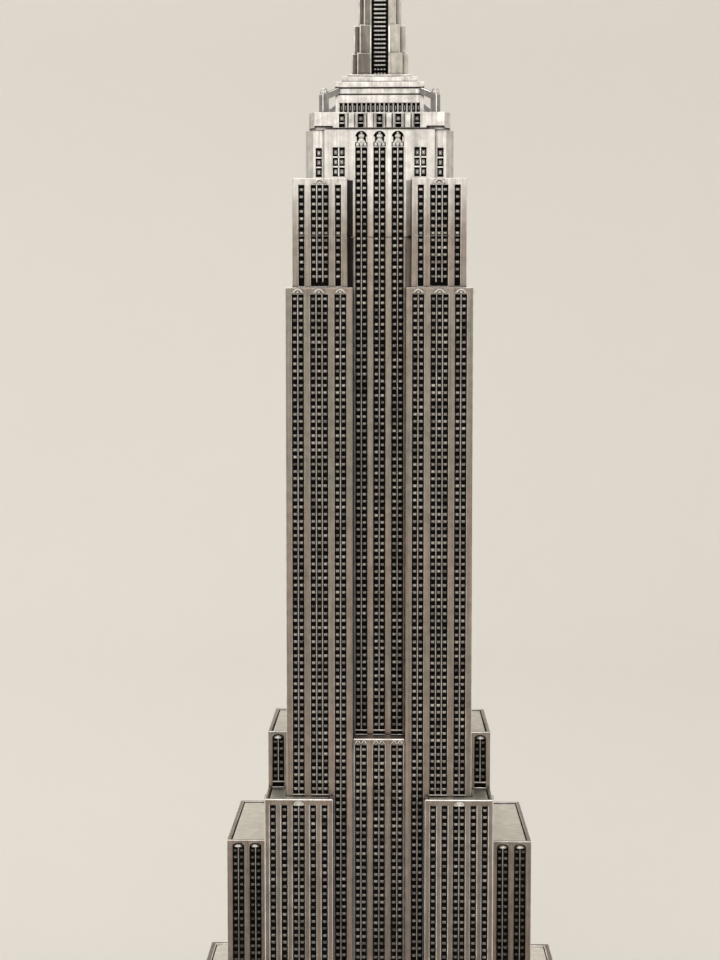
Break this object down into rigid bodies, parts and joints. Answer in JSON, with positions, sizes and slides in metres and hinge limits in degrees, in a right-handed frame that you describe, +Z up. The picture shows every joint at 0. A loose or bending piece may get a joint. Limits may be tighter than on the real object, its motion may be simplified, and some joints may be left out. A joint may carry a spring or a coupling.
{
  "type": "miniature landmark model",
  "caption": "Desk-size cast model of a stepped skyscraper with setbacks, recessed window strips, crown, mast and antenna on a felted base.",
  "frame": {"origin": "centre of the underside of the felt pad, on the surface that the model stands on", "axes": "+Z up along the tower's centre line; the wide faces look along -Y (front) and +Y, the narrow faces along -X and +X"},
  "size_m": [0.114, 0.0692, 0.3767],
  "materials": {
    "wall_casting": "antiqued pewter-coloured zinc casting, brushed piers, black patina in the recesses",
    "recess_casting": "the same antiqued casting, a little darker",
    "roof_plate": "satin grey pewter-coloured plate with a dark groove round it",
    "crown_casting": "brighter rubbed pewter-coloured casting, black patina in the recesses",
    "mast_casting": "smooth rubbed pewter-coloured casting with bright edges",
    "weight_plate": "plain rolled steel",
    "fastener": "bright zinc-plated steel",
    "felt": "black pressed felt"
  },
  "bodies": {
    "root": {"antenna": "mast_casting", "antenna_socket": "mast_casting", "apron_back": "wall_casting", "apron_front": "wall_casting", "base_plate": "weight_plate", "base_roof": "roof_plate", "base_screws": "fastener", "base_shell": "wall_casting", "bay_roof_left": "roof_plate", "bay_roof_right": "roof_plate", "buttress_back_left": "crown_casting", "buttress_back_right": "crown_casting", "buttress_front_left": "crown_casting", "buttress_front_right": "crown_casting", "corner_block_back_left": "wall_casting", "corner_block_back_right": "wall_casting", "corner_block_front_left": "wall_casting", "corner_block_front_right": "wall_casting", "corner_roof_back_left": "roof_plate", "corner_roof_back_right": "roof_plate", "corner_roof_front_left": "roof_plate", "corner_roof_front_right": "roof_plate", "crown": "crown_casting", "deck_cornice": "crown_casting", "end_bay_left": "wall_casting", "end_bay_right": "wall_casting", "end_panel_left": "recess_casting", "end_panel_right": "recess_casting", "felt_pad": "felt", "lantern": "crown_casting", "lower_roof": "roof_plate", "lower_tier": "wall_casting", "mast_collar": "mast_casting", "mast_core": "mast_casting", "mast_dome": "mast_casting", "mast_drum": "mast_casting", "mast_wing_back_left": "mast_casting", "mast_wing_back_right": "mast_casting", "mast_wing_front_left": "mast_casting", "mast_wing_front_right": "mast_casting", "recess_panel_back": "recess_casting", "recess_panel_front": "recess_casting", "shaft_back": "wall_casting", "shaft_front": "wall_casting", "shoulder_roof_back_left": "roof_plate", "shoulder_roof_back_right": "roof_plate", "shoulder_roof_front_left": "roof_plate", "shoulder_roof_front_right": "roof_plate", "side_block_left": "wall_casting", "side_block_right": "wall_casting", "side_roof_left": "roof_plate", "side_roof_right": "roof_plate", "stepped_cap": "mast_casting", "tie_nuts": "fastener", "tie_rod": "fastener", "tie_washers": "fastener"}
  },
  "joints": []
}
